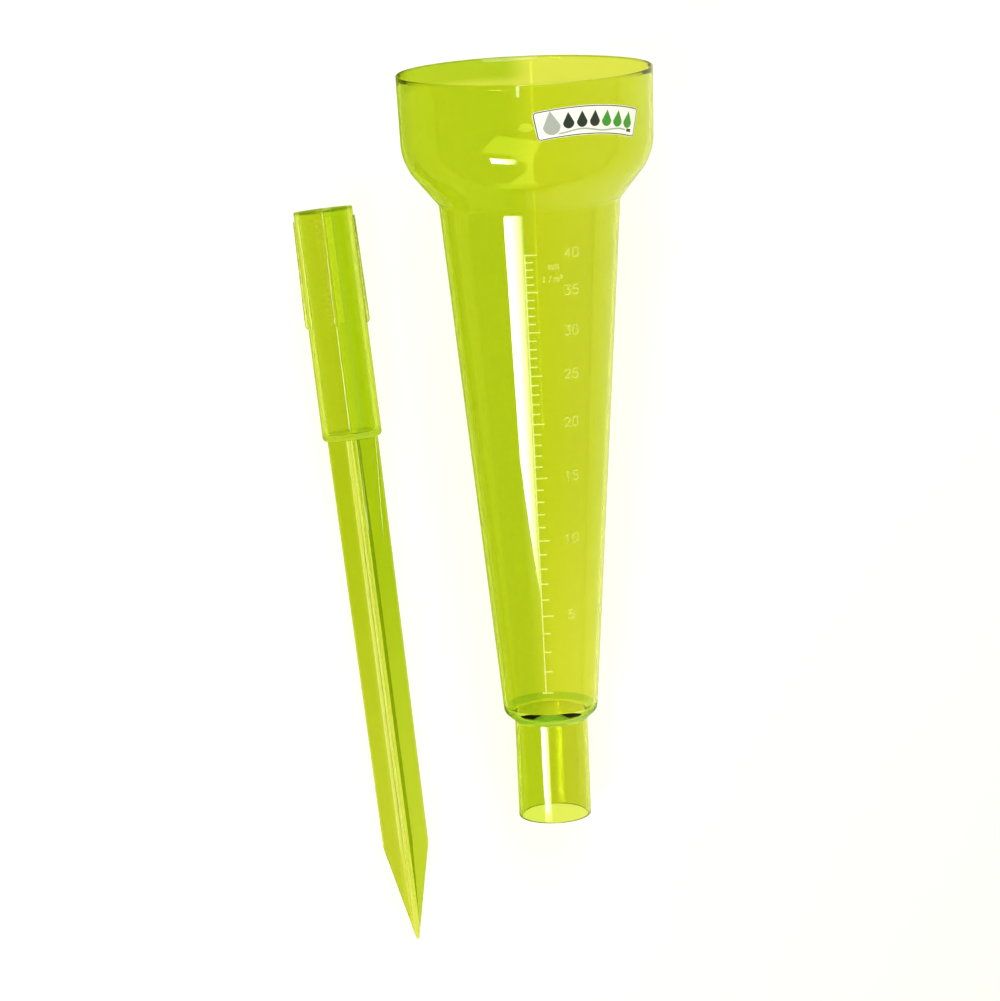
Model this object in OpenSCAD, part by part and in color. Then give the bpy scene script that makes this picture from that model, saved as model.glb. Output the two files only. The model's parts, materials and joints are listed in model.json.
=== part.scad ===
// Manual rain gauge: a conical measuring vessel with a wide catch bowl, and the ground stake that
// plugs into the tube under it. The two mouldings lie side by side on a flat surface. Each is drawn
// upright on its own axis, with its front towards -Y, and is then laid down with its front up.

/* [Catch bowl] */
// Outside diameter of the mouth, which sets how much rain is caught
mouth_d = 80; // [76:0.5:84]
// Height of the upright wall under the mouth
bowl_wall_h = 21.8; // [20:0.1:26]
// How much the upright wall narrows down to the curve, on each side
bowl_draft = 0.7; // [0.2:0.1:1.2]
// Radius of the curve between the upright wall and the funnel
bowl_curve_r = 16; // [10:0.5:18]
// Slope of the funnel under the curve, measured from the axis
funnel_angle = 39; // [34:0.5:44]
// Radius of the hollow curve where the funnel meets the measuring cone
neck_r = 2.5; // [1:0.1:4]
// Thickness of the rim, which is bevelled on its inside
rim_t = 0.7; // [0.5:0.1:1]
// Height of the bevel inside the rim
rim_bevel_h = 1.5; // [1:0.1:3]

/* [Measuring cone] */
// Outside diameter of the cone at the neck
cone_top_d = 56.8; // [54:0.2:60]
// Outside diameter of the cone at its foot
cone_foot_d = 30; // [28:0.5:32]
// Height of the cone
cone_h = 163.5; // [155:0.5:172]
// Wall thickness of the whole vessel
wall = 1.2; // [1:0.05:1.5]
// Height of the floor above the foot of the cone
floor_rise = 0.8; // [0.4:0.1:2]

/* [Mounting tube] */
// Outside diameter of the tube under the cone
tube_d = 23.2; // [22.6:0.1:24]
// Bore of the tube, which takes the ribbed plug of the stake
tube_bore_d = 20.8; // [20.4:0.1:21.2]
// Length of the tube, which is also the depth of its bore
tube_len = 32; // [26:0.5:38]
// Height of the shoulder between the tube and the cone
shoulder_h = 4; // [3.6:0.1:5]
// Radius of the edge between the cone and the shoulder
shoulder_r = 2.5; // [1.8:0.1:3]

/* [Rain scale] */
// Highest reading of the scale, in millimetres of rain
scale_top = 40; // [20:5:40]
// Angle of the scale line round the cone, from the front
scale_angle = -5; // [-12:1:0]
// How far the marks stand out of the cone
mark_h = 0.3; // [0.2:0.05:0.5]
// Width of the scale line and of each graduation
mark_w = 0.4; // [0.3:0.05:0.6]
// Length of a graduation
tick_len = 2.6; // [2:0.1:4]
// Length of every fifth graduation
long_tick_len = 3.8; // [3:0.1:6]
// Height of a numeral
numeral_h = 2.9; // [2.4:0.1:3.6]
// Angle of the numerals round the cone, from the front
numeral_angle = 27; // [22:1:32]
// Height of a unit letter
unit_h = 2; // [1.6:0.1:2.2]
// Angle of the unit letters round the cone, from the front
unit_angle = 14; // [12:1:15]

/* [Label] */
// Length of the label
label_len = 36; // [28:0.5:40]
// Height of the label
label_h = 9; // [6:0.5:10]
// Radius that the label's edges are arched to
label_arch_r = 75; // [70:5:200]
// Radius of the label's corners
label_corner_r = 1.2; // [0.6:0.1:2]
// Thickness of the label
label_t = 0.15; // [0.1:0.05:0.3]
// Angle of the label round the bowl, from the front
label_angle = 30; // [24:1:36]
// Distance from the mouth to the middle of the label
label_drop = 12; // [8:0.1:13.5]
// How far the label is turned in its own plane
label_turn = -3.5; // [-5:0.5:5]

/* [Ground stake] */
// Length of the hollow plug at the top of the stake
plug_len = 74; // [60:1:80]
// Outside diameter of the plug at its open end
plug_top_d = 18.9; // [18.4:0.1:19]
// Outside diameter of the plug at its closed end
plug_foot_d = 19.1; // [19:0.1:19.6]
// Bore of the plug
plug_bore_d = 15.6; // [14.8:0.1:16]
// Thickness of the plug's closed end
plug_floor_t = 2; // [1.6:0.1:3]
// Radius of the edge round the closed end
plug_lip_r = 1.5; // [0.8:0.1:1.8]
// Length of the cross-shaped blade
blade_len = 133.5; // [110:0.5:150]
// Width of the blade at the plug
blade_top_w = 16.2; // [15:0.1:17]
// Width of the blade at the point
blade_foot_w = 14.6; // [13.6:0.1:15]
// Thickness of the blade's flanges
flange_t = 2; // [1.6:0.1:2.4]
// Length of the point
point_len = 31; // [26:1:44]
// Diameter of the very tip
tip_d = 1; // [0.6:0.1:1.6]

/* [Grip ribs] */
// Number of ribs on the plug
rib_count = 4; // [3:1:6]
// Width of a rib
rib_w = 2.6; // [1.8:0.1:3]
// Distance from the open end to where the ribs begin
rib_gap = 3; // [2:0.5:6]
// Distance from the open end to where the ribs end
rib_reach = 37.5; // [28:0.5:45]
// Diameter over the ribs where they begin
rib_top_d = 19.8; // [19.4:0.1:20.2]
// Diameter over the ribs at their thick end
rib_d = 20.8; // [20.4:0.1:21.2]
// Chamfer at the thick end of a rib
rib_chamfer = 1; // [0.4:0.1:2]

/* [Layout] */
// Angle of the gauge's axis from the Y axis, seen from above
gauge_lean = 2.5; // [0:0.1:4]
// Angle of the stake's axis from the Y axis, seen from above
stake_lean = 7.2; // [6:0.1:9]
// How far the stake is rolled about its own axis
stake_roll = -6; // [-10:1:0]
// Distance in X from the tube's mouth to the tip of the stake
tip_side = 44.5; // [42:0.5:60]
// Distance in Y from the tube's mouth to the tip of the stake
tip_below = 42; // [20:0.5:50]

/* [Hidden] */

// Smoothness of round faces and the number of steps in a rounded outline
$fn = 96;
arc_steps = 8;
// How far a tool body reaches past the face it cuts or meets
reach = 1;

// Colours of the mouldings, of the raised marks and of the label
lime = [0.72, 0.82, 0.12];
pale_lime = [0.88, 0.92, 0.45];
label_white = [0.96, 0.96, 0.94];

// The vessel's outline, worked up from the open end of the tube at height 0
mouth_r = mouth_d / 2;
wall_foot_r = mouth_r - bowl_draft;
cone_top_r = cone_top_d / 2;
cone_foot_r = cone_foot_d / 2;
cone_slope = (cone_top_r - cone_foot_r) / cone_h;
cone_angle = atan(cone_slope);
foot_z = tube_len + shoulder_h;
neck_z = foot_z + cone_h;
curve_end_r = wall_foot_r - bowl_curve_r * (1 - cos(funnel_angle));
curve_end_z = neck_z + (curve_end_r - cone_top_r) / tan(funnel_angle);
curve_z = curve_end_z + bowl_curve_r * sin(funnel_angle);
mouth_z = curve_z + bowl_wall_h;
floor_z = foot_z + floor_rise;

// How far the edge at the shoulder turns before the shoulder begins
shoulder_angle = 48;

// The middles of the three round corners, each as radius and height
neck_tangent = neck_r * tan((funnel_angle - cone_angle) / 2);
neck_mid = [cone_top_r - neck_tangent * sin(cone_angle) + neck_r * cos(cone_angle),
            neck_z - neck_tangent * cos(cone_angle) - neck_r * sin(cone_angle)];
curve_mid = [wall_foot_r - bowl_curve_r, curve_z];
shoulder_mid = [cone_foot_r - shoulder_r * cos(cone_angle), foot_z + shoulder_r * sin(cone_angle)];

// The stake's outline, worked up from its tip at height 0
plug_z = point_len + blade_len;
stake_len = plug_z + plug_len;
rib_foot_z = stake_len - rib_reach;
rib_top_z = stake_len - rib_gap;

// How the gauge lies: on the bowl's curve and on the rim of the tube
tube_r = tube_d / 2;
curve_rise = curve_mid[0] - tube_r;
gauge_tilt = atan(curve_rise / curve_z) + asin(bowl_curve_r / norm([curve_rise, curve_z]));
gauge_lift = tube_r * cos(gauge_tilt);

// How the stake lies: on the thick end of a rib and on the lower end of the blade
function lowest(r, half_w) = r * cos(stake_roll) + half_w * sin(abs(stake_roll));
rib_rest = lowest(rib_d / 2, rib_w / 2);
blade_rest = lowest(blade_foot_w / 2, flange_t / 2);
rib_rest_z = rib_foot_z + rib_chamfer;
stake_tilt = atan((rib_rest - blade_rest) / (rib_rest_z - point_len));
stake_lift = blade_rest * cos(stake_tilt) - point_len * sin(stake_tilt);

// The whole layout is centred on the origin
function side_of(z, r) = r * cos(gauge_lean) - z * cos(gauge_tilt) * sin(gauge_lean);
layout_right = max(side_of(mouth_z, mouth_r), side_of(curve_z, wall_foot_r));
layout_left = -tip_side - stake_len * cos(stake_tilt) * sin(stake_lean)
    - plug_top_d / 2 * cos(stake_lean);
layout_top = mouth_z * cos(gauge_tilt) * cos(gauge_lean)
    + mouth_r * norm([sin(gauge_lean), sin(gauge_tilt) * cos(gauge_lean)]);
layout_bottom = -tip_below;
centre = [(layout_left + layout_right) / 2, (layout_top + layout_bottom) / 2, 0];

// Points along an arc about mid, from angle a to angle b
function arc(mid, r, a, b) =
    [for (i = [0:arc_steps]) mid + r * [cos(a + (b - a) * i / arc_steps), sin(a + (b - a) * i / arc_steps)]];
// The same corner arc on the outer face, inset 0, or on the inner face, inset by the wall
function neck_arc(inset) = arc(neck_mid, neck_r + inset, 180 - cone_angle, 180 - funnel_angle);
function curve_arc(inset) = arc(curve_mid, bowl_curve_r - inset, -funnel_angle, 0);
function shoulder_arc(inset) = arc(shoulder_mid, shoulder_r - inset, -cone_angle, -shoulder_angle);
function bowl_line(inset) = concat(neck_arc(inset), curve_arc(inset));
function reversed(list) = [for (i = [len(list) - 1:-1:0]) list[i]];
// A list without its first and last points
function between(list) = [for (i = [1:len(list) - 2]) list[i]];

// Outside radius of the cone and of the bowl's upright wall at a height
function cone_r(z) = cone_foot_r + cone_slope * (z - foot_z);
function bowl_r(z) = wall_foot_r + bowl_draft * (z - curve_z) / bowl_wall_h;

// Height of the water for a depth of rain: the cone holds what falls through the mouth
catch_area = PI * pow(mouth_r - rim_t, 2);
wall_across = wall / cos(cone_angle);
floor_r = cone_r(floor_z) - wall_across;
function water_r(rain) = pow(pow(floor_r, 3) + 3 * cone_slope * catch_area * rain / PI, 1 / 3);
function water_z(rain) = foot_z + (water_r(rain) + wall_across - cone_foot_r) / cone_slope;

// Strokes of the characters, on a grid with a height of 8
zero = [[1, 0], [4, 0], [5, 1.5], [5, 6.5], [4, 8], [1, 8], [0, 6.5], [0, 1.5], [1, 0]];
one = [[1, 6.5], [3, 8], [3, 0]];
two = [[0, 6.4], [1.4, 8], [3.6, 8], [5, 6.6], [5, 5.2], [0.2, 0.2], [5.2, 0.2]];
three = [[0, 8], [5, 8], [2.4, 4.8], [4, 4.6], [5, 3.2], [5, 1.4], [3.8, 0], [1.2, 0], [0, 1.2]];
four = [[4, 0], [4, 8], [0, 2.4], [5.4, 2.4]];
five = [[5, 8], [0.6, 8], [0.2, 4.4], [3.4, 5], [5, 3.8], [5, 1.4], [3.8, 0], [1.2, 0], [0, 1.2]];
digits = [zero, one, two, three, four, five];
letter_m = [[0, 0], [0, 5.6], [1.6, 5.6], [2.6, 4.6], [2.6, 0], [2.6, 4.6], [3.6, 5.6], [5.2, 4.6], [5.2, 0]];
letter_l = [[2, 8], [2, 0]];
slash = [[0.6, 0], [3.4, 8]];
small_two = [for (p = two) [p[0] / 2, 4 + p[1] / 2]];
grid_h = 8;
char_pitch = 7.6;

module turned(outline) {
    rotate_extrude() polygon(outline);
}

// A thin skin on the outside of the measuring cone, from height a to height b
module cone_skin(a, b, t) {
    turned([[cone_r(a), a], [cone_r(a) + t, a], [cone_r(b) + t, b], [cone_r(b), b]]);
}

// Sends a flat drawing, x across and y up, outwards through the front of the vessel at an angle
module through_front(angle, z) {
    rotate([0, 0, angle])
        translate([0, 0, z])
            rotate([90, 0, 0])
                linear_extrude(height = mouth_r + reach) children();
}

// One pen stroke between two points of a drawing
module stroke(a, b, w) {
    along = b - a;
    translate(a) rotate(atan2(along[1], along[0])) translate([0, -w / 2]) square([norm(along), w]);
    translate(b) circle(d = w, $fn = 8);
}

// One character of a given height, with its left edge at x = 0
module character(points, h, w) {
    scaled = points * h / grid_h;
    translate(scaled[0]) circle(d = w, $fn = 8);
    for (i = [1:len(scaled) - 1]) stroke(scaled[i - 1], scaled[i], w);
}

// A row of characters, centred on x = 0 and standing on y = 0
module line_of(characters, h, w) {
    pitch = char_pitch * h / grid_h;
    for (i = [0:len(characters) - 1]) {
        translate([(i - len(characters) / 2) * pitch, 0]) character(characters[i], h, w);
    }
}

module catch_bowl() {
    rim_low = mouth_z - rim_bevel_h;
    rim = [[mouth_r, mouth_z], [mouth_r - rim_t, mouth_z], [bowl_r(rim_low) - wall, rim_low]];
    color(lime) turned(concat(bowl_line(0), rim, reversed(bowl_line(wall))));
}

module measuring_cone() {
    color(lime) turned([neck_arc(0)[0], neck_arc(wall)[0], shoulder_arc(wall)[0], shoulder_arc(0)[0]]);
}

module cone_floor() {
    under = concat(shoulder_arc(0), [[tube_r, tube_len], [0, tube_len]]);
    color(lime) turned(concat(under, [[0, floor_z], [floor_r, floor_z], shoulder_arc(wall)[0]]));
}

module mounting_tube() {
    color(lime) difference() {
        cylinder(h = tube_len, r = tube_r);
        translate([0, 0, -reach]) cylinder(h = tube_len + 2 * reach, d = tube_bore_d);
    }
}

// One graduation, or the scale line, as a block through the front of the cone
module graduation(z, length, h) {
    translate([-mark_w / 2, z - h / 2]) square([length, h]);
}

module rain_scale() {
    low = water_z(1);
    high = water_z(scale_top);
    color(pale_lime) intersection() {
        cone_skin(low - reach, high + reach, mark_h);
        through_front(scale_angle, 0) union() {
            graduation((low + high) / 2, mark_w, high - low + mark_w);
            translate([mark_w - tick_len / 2, 0]) graduation(low, tick_len / 2, mark_w);
            for (rain = [1:scale_top]) {
                graduation(water_z(rain), rain % 5 == 0 ? long_tick_len : tick_len, mark_w);
            }
        }
    }
}

module scale_numerals() {
    for (rain = [5:5:scale_top]) {
        tens = rain >= 10 ? [digits[floor(rain / 10)]] : [];
        figures = concat(tens, [digits[rain % 10]]);
        z = water_z(rain);
        color(pale_lime) intersection() {
            cone_skin(z - numeral_h, z + numeral_h, mark_h);
            through_front(numeral_angle, z - numeral_h / 2) line_of(figures, numeral_h, mark_w);
        }
    }
}

module unit_marks() {
    upper = water_z(scale_top) - 2.4 * unit_h;
    lower = upper - 2 * unit_h;
    color(pale_lime) intersection() {
        cone_skin(lower - reach, upper + unit_h + reach, mark_h);
        union() {
            through_front(unit_angle, upper) line_of([letter_m, letter_m], unit_h, mark_w);
            through_front(unit_angle, lower) {
                line_of([letter_l, slash, letter_m, small_two], unit_h, mark_w);
            }
        }
    }
}

// The label's outline: an arched band with rounded corners
module label_outline() {
    half = label_h / 2;
    end = asin(label_len / 2 / label_arch_r) - label_corner_r / label_arch_r * 180 / PI;
    upper = label_arch_r + half - label_corner_r;
    lower = label_arch_r - half + label_corner_r;
    right = [sin(end), cos(end)];
    left = [-sin(end), cos(end)];
    translate([0, -label_arch_r]) polygon(concat(
        between(arc([0, 0], label_arch_r + half, 90 + end, 90 - end)),
        arc(upper * right, label_corner_r, 90 - end, -end),
        arc(lower * right, label_corner_r, -end, -90 - end),
        between(arc([0, 0], label_arch_r - half, 90 - end, 90 + end)),
        arc(lower * left, label_corner_r, end - 90, end - 180),
        arc(upper * left, label_corner_r, 180 + end, 90 + end)
    ));
}

module label() {
    low = curve_z;
    high = mouth_z - reach;
    color(label_white) intersection() {
        turned([[bowl_r(low), low], [bowl_r(low) + label_t, low], [bowl_r(high) + label_t, high],
                [bowl_r(high), high]]);
        through_front(label_angle, mouth_z - label_drop) rotate(label_turn) label_outline();
    }
}

// The outer shape of the plug, closed and solid
module plug_body() {
    lip = arc([plug_foot_d / 2 - plug_lip_r, plug_z + plug_lip_r], plug_lip_r, -90, 0);
    turned(concat([[0, plug_z]], lip, [[plug_top_d / 2, stake_len], [0, stake_len]]));
}

module stake_plug() {
    color(lime) difference() {
        plug_body();
        translate([0, 0, plug_z + plug_floor_t]) cylinder(h = plug_len, d = plug_bore_d);
    }
}

module grip_ribs() {
    inside = plug_bore_d / 2;
    outline = [[inside, rib_foot_z], [rib_d / 2 - rib_chamfer / 2, rib_foot_z], [rib_d / 2, rib_rest_z],
               [rib_top_d / 2, rib_top_z], [inside, rib_top_z]];
    color(lime) difference() {
        for (i = [0:rib_count - 1]) {
            rotate([90, 0, i * 360 / rib_count])
                translate([0, 0, -rib_w / 2]) linear_extrude(height = rib_w) polygon(outline);
        }
        plug_body();
    }
}

// A flat plate on the stake's axis, from height a and width wa to height b and width wb
module plate(a, wa, b, wb) {
    rotate([90, 0, 0])
        translate([0, 0, -flange_t / 2])
            linear_extrude(height = flange_t)
                polygon([[-wa / 2, a], [wa / 2, a], [wb / 2, b], [-wb / 2, b]]);
}

module crossed_plates(a, wa, b, wb) {
    for (turn = [0, 90]) rotate([0, 0, turn]) plate(a, wa, b, wb);
}

module ground_blade() {
    color(lime) crossed_plates(point_len, blade_foot_w, plug_z, blade_top_w);
}

module stake_point() {
    color(lime) intersection() {
        crossed_plates(0, blade_foot_w, point_len, blade_foot_w);
        cylinder(h = point_len, r1 = tip_d / 2, r2 = norm([blade_foot_w, flange_t]) / 2);
    }
}

// Lays a part of the gauge down, its front up and its mouth towards +Y
module laid_gauge() {
    translate([0, 0, gauge_lift] - centre)
        rotate([gauge_tilt - 90, 0, gauge_lean]) children();
}

// Lays a part of the stake down beside the gauge, its front up and its open end towards +Y
module laid_stake() {
    translate([-tip_side, -tip_below, stake_lift] - centre)
        rotate([stake_tilt - 90, 0, stake_lean])
            rotate([0, 0, stake_roll]) children();
}

laid_gauge() catch_bowl();
laid_gauge() measuring_cone();
laid_gauge() cone_floor();
laid_gauge() mounting_tube();
laid_gauge() rain_scale();
laid_gauge() scale_numerals();
laid_gauge() unit_marks();
laid_gauge() label();
laid_stake() stake_plug();
laid_stake() grip_ribs();
laid_stake() ground_blade();
laid_stake() stake_point();
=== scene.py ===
"""Looks of a manual rain gauge: a clear measuring vessel, its marks and label, and its loose stake.

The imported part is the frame, and every length here is in metres in that frame. Each moulding is
modelled upright on its own axis, with its front towards -Y, and is then laid down where the record's
mounts say that it lies.
"""

import json
import logging
import math
from dataclasses import dataclass
from enum import Enum

import bmesh
import bpy
from mathutils import Matrix, Vector

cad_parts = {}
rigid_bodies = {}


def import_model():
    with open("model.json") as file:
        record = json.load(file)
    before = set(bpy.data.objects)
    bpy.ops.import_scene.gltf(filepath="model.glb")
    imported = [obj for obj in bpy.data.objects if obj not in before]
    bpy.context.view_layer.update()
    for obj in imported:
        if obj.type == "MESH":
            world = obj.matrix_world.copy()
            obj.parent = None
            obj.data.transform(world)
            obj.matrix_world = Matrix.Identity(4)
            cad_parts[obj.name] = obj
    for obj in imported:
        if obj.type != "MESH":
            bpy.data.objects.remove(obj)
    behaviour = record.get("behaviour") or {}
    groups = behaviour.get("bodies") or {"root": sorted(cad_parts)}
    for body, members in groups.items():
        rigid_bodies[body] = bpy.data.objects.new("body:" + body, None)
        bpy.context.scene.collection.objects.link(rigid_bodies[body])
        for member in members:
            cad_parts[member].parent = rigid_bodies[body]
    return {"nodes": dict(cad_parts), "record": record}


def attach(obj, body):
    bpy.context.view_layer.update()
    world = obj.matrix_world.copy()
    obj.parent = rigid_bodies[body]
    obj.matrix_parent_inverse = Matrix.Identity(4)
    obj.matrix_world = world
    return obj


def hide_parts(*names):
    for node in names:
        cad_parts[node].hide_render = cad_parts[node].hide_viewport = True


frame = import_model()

log = logging.getLogger("rain_gauge")

MM = 0.001
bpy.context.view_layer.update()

# A plain colour, or the socket of a node that gives one
Colour = tuple[float, float, float] | bpy.types.NodeSocket


class Body(Enum):
    """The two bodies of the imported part."""

    GAUGE = "gauge"
    STAKE = "stake"


class Slot(Enum):
    """The record's material slots."""

    PLASTIC = "clear_lime_plastic"
    MARKS = "raised_marks"
    LABEL = "label_film"


# ---------------------------------------------------------------- shader nodes


class Value:
    """One number in a node tree. Arithmetic on it adds Math nodes."""

    def __init__(self, graph: "Graph", socket: bpy.types.NodeSocket) -> None:
        """Wraps an output socket.

        Args:
            graph: the node tree that the socket is in.
            socket: the output that holds the number.
        """
        self.graph = graph
        self.socket = socket

    def _math(self, operation: str, *values: "Value | float") -> "Value":
        """Adds one Math node.

        Args:
            operation: the Math node's operation.
            values: its inputs, in order.

        Returns:
            The node's result.
        """
        inputs = dict(enumerate(values))
        return self.graph.add("ShaderNodeMath", {"operation": operation}, inputs).value("Value")

    def __add__(self, other: "Value | float") -> "Value":
        """Sum."""
        return self._math("ADD", self, other)

    __radd__ = __add__

    def __sub__(self, other: "Value | float") -> "Value":
        """Difference."""
        return self._math("SUBTRACT", self, other)

    def __rsub__(self, other: float) -> "Value":
        """Difference from a plain number."""
        return self._math("SUBTRACT", other, self)

    def __mul__(self, other: "Value | float") -> "Value":
        """Product."""
        return self._math("MULTIPLY", self, other)

    __rmul__ = __mul__

    def __truediv__(self, other: "Value | float") -> "Value":
        """Quotient."""
        return self._math("DIVIDE", self, other)

    def __pow__(self, other: "Value | float") -> "Value":
        """Power."""
        return self._math("POWER", self, other)

    def __abs__(self) -> "Value":
        """Size without its sign."""
        return self._math("ABSOLUTE", self)

    def sine(self) -> "Value":
        """Sine of an angle in radians."""
        return self._math("SINE", self)

    def most(self, other: "Value | float") -> "Value":
        """The larger of two numbers."""
        return self._math("MAXIMUM", self, other)

    def least(self, other: "Value | float") -> "Value":
        """The smaller of two numbers."""
        return self._math("MINIMUM", self, other)

    def ramp(self, start: float, end: float) -> "Value":
        """Goes smoothly from 0 at start to 1 at end.

        Args:
            start: the number that gives 0.
            end: the number that gives 1.

        Returns:
            The eased share of the way from start to end.
        """
        settings = {"interpolation_type": "SMOOTHSTEP"}
        inputs = {"Value": self, "From Min": start, "From Max": end}
        return self.graph.add("ShaderNodeMapRange", settings, inputs).value("Result")


@dataclass(frozen=True)
class Made:
    """A node that Graph.add made."""

    graph: "Graph"
    node: bpy.types.Node

    def value(self, name: str) -> Value:
        """An output of the node as a number."""
        return Value(self.graph, self.node.outputs[name])

    def out(self, name: str) -> bpy.types.NodeSocket:
        """An output of the node as it is, for colours, vectors and shaders."""
        return self.node.outputs[name]


class Graph:
    """A node tree that is filled with new nodes."""

    def __init__(self, tree: bpy.types.NodeTree) -> None:
        """Empties the tree.

        Args:
            tree: the node tree of a material, a world or a lamp.
        """
        self.tree = tree
        self.tree.nodes.clear()

    def add(
        self,
        kind: str,
        settings: dict[str, object] | None = None,
        inputs: dict[str | int, object] | None = None,
    ) -> Made:
        """Adds one node.

        Args:
            kind: the node's type.
            settings: properties that are set before the sockets.
            inputs: values, sockets or Values for the inputs, by name or index.

        Returns:
            The node that was made.
        """
        node = self.tree.nodes.new(kind)
        for key, setting in (settings or {}).items():
            setattr(node, key, setting)
        for key, given in (inputs or {}).items():
            socket = node.inputs[key]
            if isinstance(given, Value):
                given = given.socket
            if isinstance(given, bpy.types.NodeSocket):
                self.tree.links.new(given, socket)
            else:
                socket.default_value = given
        return Made(self, node)

    def blend(self, share: Value, low: Colour, high: Colour) -> bpy.types.NodeSocket:
        """Mixes two colours.

        Args:
            share: how much of the second colour there is.
            low: the first colour, or a socket that gives it.
            high: the second colour, or a socket that gives it.

        Returns:
            The mixed colour.
        """
        made = self.add("ShaderNodeMix", {"data_type": "RGBA"}, {"Factor": share})
        for index, given in ((6, low), (7, high)):
            if isinstance(given, bpy.types.NodeSocket):
                self.tree.links.new(given, made.node.inputs[index])
            else:
                made.node.inputs[index].default_value = (*given, 1.0)
        return made.node.outputs[2]

    def times(self, first: bpy.types.NodeSocket, second: bpy.types.NodeSocket) -> bpy.types.NodeSocket:
        """Multiplies two colours, part by part.

        Args:
            first: the first colour.
            second: the second colour.

        Returns:
            The product.
        """
        inputs = {0: first, 1: second}
        return self.add("ShaderNodeVectorMath", {"operation": "MULTIPLY"}, inputs).out("Vector")

    def along(self, placement: "Placement") -> tuple[Value, Value, Value]:
        """The place of a point on a moulding's own axes, in metres.

        Args:
            placement: how the moulding lies.

        Returns:
            Across, towards the back, and up the axis.
        """
        own = placement.matrix.inverted()
        here = self.add("ShaderNodeTexCoord").out("Object")
        settings = {"vector_type": "POINT"}
        inputs = {"Vector": here, "Location": own.to_translation(), "Rotation": own.to_euler()}
        turned = self.add("ShaderNodeMapping", settings, inputs).out("Vector")
        split = self.add("ShaderNodeSeparateXYZ", None, {"Vector": turned})
        return split.value("X"), split.value("Y"), split.value("Z")

    def noise(self, scale: float, detail: float) -> Value:
        """Smooth noise about 0.5 on Object coordinates.

        Args:
            scale: waves in each metre.
            detail: finer octaves.

        Returns:
            The noise, from 0 to 1.
        """
        here = self.add("ShaderNodeTexCoord").out("Object")
        inputs = {"Vector": here, "Scale": scale, "Detail": detail}
        return self.add("ShaderNodeTexNoise", None, inputs).value("Fac")

    def bump(self, height: Value, depth: float) -> bpy.types.NodeSocket:
        """A normal from a height map.

        Args:
            height: the height, from 0 to 1.
            depth: what a height of 1 stands for, in metres.

        Returns:
            The bent normal.
        """
        inputs = {"Height": height, "Distance": depth, "Strength": 1.0}
        return self.add("ShaderNodeBump", None, inputs).out("Normal")

    def finish(self, shader: bpy.types.NodeSocket, output: str = "ShaderNodeOutputMaterial") -> None:
        """Connects the shader to the tree's output.

        Args:
            shader: the shader.
            output: the type of the output node.
        """
        self.add(output, None, {"Surface": shader})


def new_material(name: str) -> tuple[bpy.types.Material, Graph]:
    """Makes an empty material.

    Args:
        name: the material's name.

    Returns:
        The material and its node tree.
    """
    material = bpy.data.materials.new(name)
    material.use_nodes = True
    return material, Graph(material.node_tree)


def radius_of(across: Value, depth: Value) -> Value:
    """The distance of a point from a moulding's axis."""
    return (across * across + depth * depth) ** 0.5


# ---------------------------------------------------------------- finishes


@dataclass(frozen=True)
class Zone:
    """A stretch of a moulding with its own tint, from a height up to where the next one starts.

    It fades in over a short height, and it may hold for the moulding's back alone.
    """

    start: float
    left: tuple[float, float, float]
    right: tuple[float, float, float]
    fade: float = 0.6 * MM
    behind: bool = False


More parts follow.
